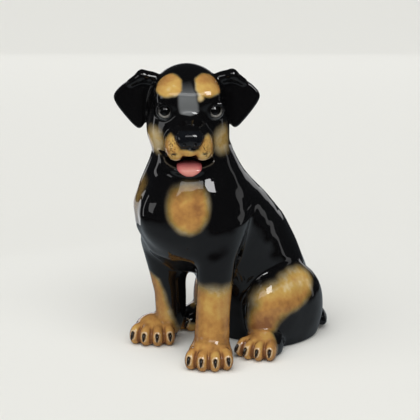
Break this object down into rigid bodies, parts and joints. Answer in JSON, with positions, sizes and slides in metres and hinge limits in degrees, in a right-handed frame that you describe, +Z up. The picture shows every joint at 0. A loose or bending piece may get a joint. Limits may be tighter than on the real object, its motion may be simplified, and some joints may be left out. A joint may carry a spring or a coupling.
{
  "type": "dog figurine",
  "caption": "Seated puppy figurine: hollow glazed earthenware in black with airbrushed tan markings, head turned to its left, folded ears, open mouth and flat underside.",
  "frame": {"origin": "centre of the bounding box's underside, on the surface the figurine stands on", "axes": "+Z up, the chest towards -Y, the puppy's own left side towards +X"},
  "size_m": [0.166, 0.221, 0.293],
  "materials": {
    "body_glaze": "black underglaze with airbrushed tan patches under a clear gloss glaze",
    "leg_glaze": "black fading to airbrushed tan under a clear gloss glaze",
    "paw_glaze": "orange tan underglaze under a clear gloss glaze",
    "claw_glaze": "brushed black under a clear gloss glaze",
    "nose_glaze": "brushed black under a clear gloss glaze",
    "tongue_glaze": "brushed pink under a clear gloss glaze",
    "eye_glaze": "brushed dark brown and black under a clear gloss glaze"
  },
  "bodies": {
    "root": {"torso_shell": "body_glaze", "head_shell": "body_glaze", "left_ear": "body_glaze", "right_ear": "body_glaze", "tail": "body_glaze", "lower_jaw": "body_glaze", "nose": "nose_glaze", "tongue": "tongue_glaze", "left_eye": "eye_glaze", "right_eye": "eye_glaze", "left_foreleg": "leg_glaze", "right_foreleg": "leg_glaze", "left_thigh": "leg_glaze", "right_thigh": "leg_glaze", "left_forepaw": "paw_glaze", "right_forepaw": "paw_glaze", "left_hind_paw": "paw_glaze", "right_hind_paw": "paw_glaze", "left_forepaw_claws": "claw_glaze", "right_forepaw_claws": "claw_glaze", "left_hind_claws": "claw_glaze", "right_hind_claws": "claw_glaze"}
  },
  "joints": []
}
